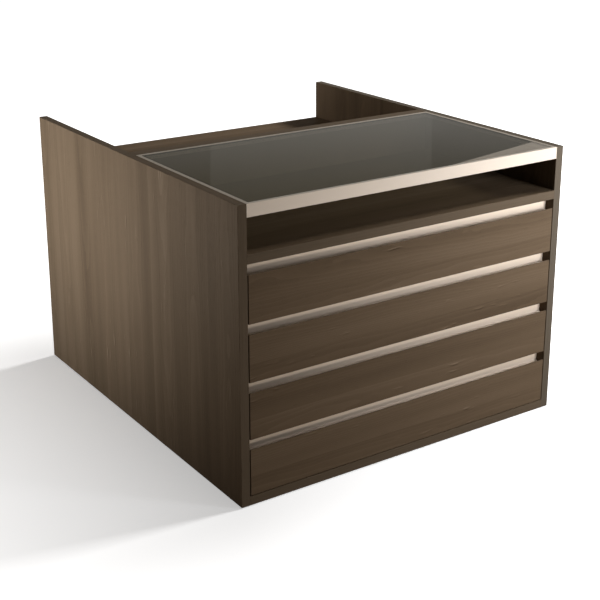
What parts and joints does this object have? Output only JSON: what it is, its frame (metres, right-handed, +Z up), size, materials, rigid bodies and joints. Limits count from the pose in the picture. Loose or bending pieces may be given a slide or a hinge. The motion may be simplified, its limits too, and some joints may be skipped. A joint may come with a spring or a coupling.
{
  "type": "closet island with drawers",
  "caption": "Free-standing timber closet island with full-width drawers opened by recessed metal channels, a glass-topped open display shelf and an open luggage bay behind.",
  "frame": {"origin": "on the floor, under the middle of the island's outline", "axes": "+X to the right seen from the drawer fronts, +Y from the drawer fronts to the luggage bay at the back, +Z up"},
  "size_m": [1.27, 1.405, 0.95],
  "materials": {
    "dark_timber": "matt dark stain",
    "drawer_lining": "matt",
    "champagne_metal": "satin anodised",
    "runner_steel": "zinc plated",
    "smoked_glass": "polished",
    "seal_rubber": "matt",
    "foot_plastic": "matt"
  },
  "bodies": {
    "carcass": {"side_panel_left": "dark_timber", "side_panel_right": "dark_timber", "centre_divider": "dark_timber", "bottom_board_front": "dark_timber", "bottom_board_rear": "dark_timber", "display_shelf": "dark_timber", "luggage_shelf": "dark_timber", "back_panel": "dark_timber", "rear_partition": "dark_timber", "adjustable_feet": "foot_plastic", "runner_1_cabinet_rails": "runner_steel", "handle_profile_1": "champagne_metal", "runner_2_cabinet_rails": "runner_steel", "handle_profile_2": "champagne_metal", "runner_3_cabinet_rails": "runner_steel", "handle_profile_3": "champagne_metal", "runner_4_cabinet_rails": "runner_steel", "handle_profile_4": "champagne_metal", "handle_brackets": "runner_steel", "glass_frame_front": "champagne_metal", "glass_frame_rear": "champagne_metal", "glass_frame_left": "champagne_metal", "glass_frame_right": "champagne_metal", "glass_top": "smoked_glass", "glass_seal": "seal_rubber"},
    "drawer_1": {"drawer_1_front": "dark_timber", "drawer_1_box_left": "drawer_lining", "drawer_1_box_right": "drawer_lining", "drawer_1_box_front": "drawer_lining", "drawer_1_box_back": "drawer_lining", "drawer_1_base": "drawer_lining", "drawer_1_rails": "runner_steel"},
    "runner_1_middle": {"runner_1_middle_rails": "runner_steel"},
    "drawer_2": {"drawer_2_front": "dark_timber", "drawer_2_box_left": "drawer_lining", "drawer_2_box_right": "drawer_lining", "drawer_2_box_front": "drawer_lining", "drawer_2_box_back": "drawer_lining", "drawer_2_base": "drawer_lining", "drawer_2_rails": "runner_steel"},
    "runner_2_middle": {"runner_2_middle_rails": "runner_steel"},
    "drawer_3": {"drawer_3_front": "dark_timber", "drawer_3_box_left": "drawer_lining", "drawer_3_box_right": "drawer_lining", "drawer_3_box_front": "drawer_lining", "drawer_3_box_back": "drawer_lining", "drawer_3_base": "drawer_lining", "drawer_3_rails": "runner_steel"},
    "runner_3_middle": {"runner_3_middle_rails": "runner_steel"},
    "drawer_4": {"drawer_4_front": "dark_timber", "drawer_4_box_left": "drawer_lining", "drawer_4_box_right": "drawer_lining", "drawer_4_box_front": "drawer_lining", "drawer_4_box_back": "drawer_lining", "drawer_4_base": "drawer_lining", "drawer_4_rails": "runner_steel"},
    "runner_4_middle": {"runner_4_middle_rails": "runner_steel"}
  },
  "joints": [
    {"name": "drawer_1_slide", "type": "slide", "parent": "carcass", "child": "drawer_1", "axis": [0, -1, 0], "range_m": [0, 0.52]},
    {"name": "runner_1_slide", "type": "slide", "parent": "carcass", "child": "runner_1_middle", "axis": [0, -1, 0], "range_m": [0, 0.26]},
    {"name": "drawer_2_slide", "type": "slide", "parent": "carcass", "child": "drawer_2", "axis": [0, -1, 0], "range_m": [0, 0.52]},
    {"name": "runner_2_slide", "type": "slide", "parent": "carcass", "child": "runner_2_middle", "axis": [0, -1, 0], "range_m": [0, 0.26]},
    {"name": "drawer_3_slide", "type": "slide", "parent": "carcass", "child": "drawer_3", "axis": [0, -1, 0], "range_m": [0, 0.52]},
    {"name": "runner_3_slide", "type": "slide", "parent": "carcass", "child": "runner_3_middle", "axis": [0, -1, 0], "range_m": [0, 0.26]},
    {"name": "drawer_4_slide", "type": "slide", "parent": "carcass", "child": "drawer_4", "axis": [0, -1, 0], "range_m": [0, 0.52]},
    {"name": "runner_4_slide", "type": "slide", "parent": "carcass", "child": "runner_4_middle", "axis": [0, -1, 0], "range_m": [0, 0.26]}
  ],
  "couplings": [
    {"joint": "runner_1_slide", "follows": "drawer_1_slide", "ratio": 0.5},
    {"joint": "runner_2_slide", "follows": "drawer_2_slide", "ratio": 0.5},
    {"joint": "runner_3_slide", "follows": "drawer_3_slide", "ratio": 0.5},
    {"joint": "runner_4_slide", "follows": "drawer_4_slide", "ratio": 0.5}
  ]
}
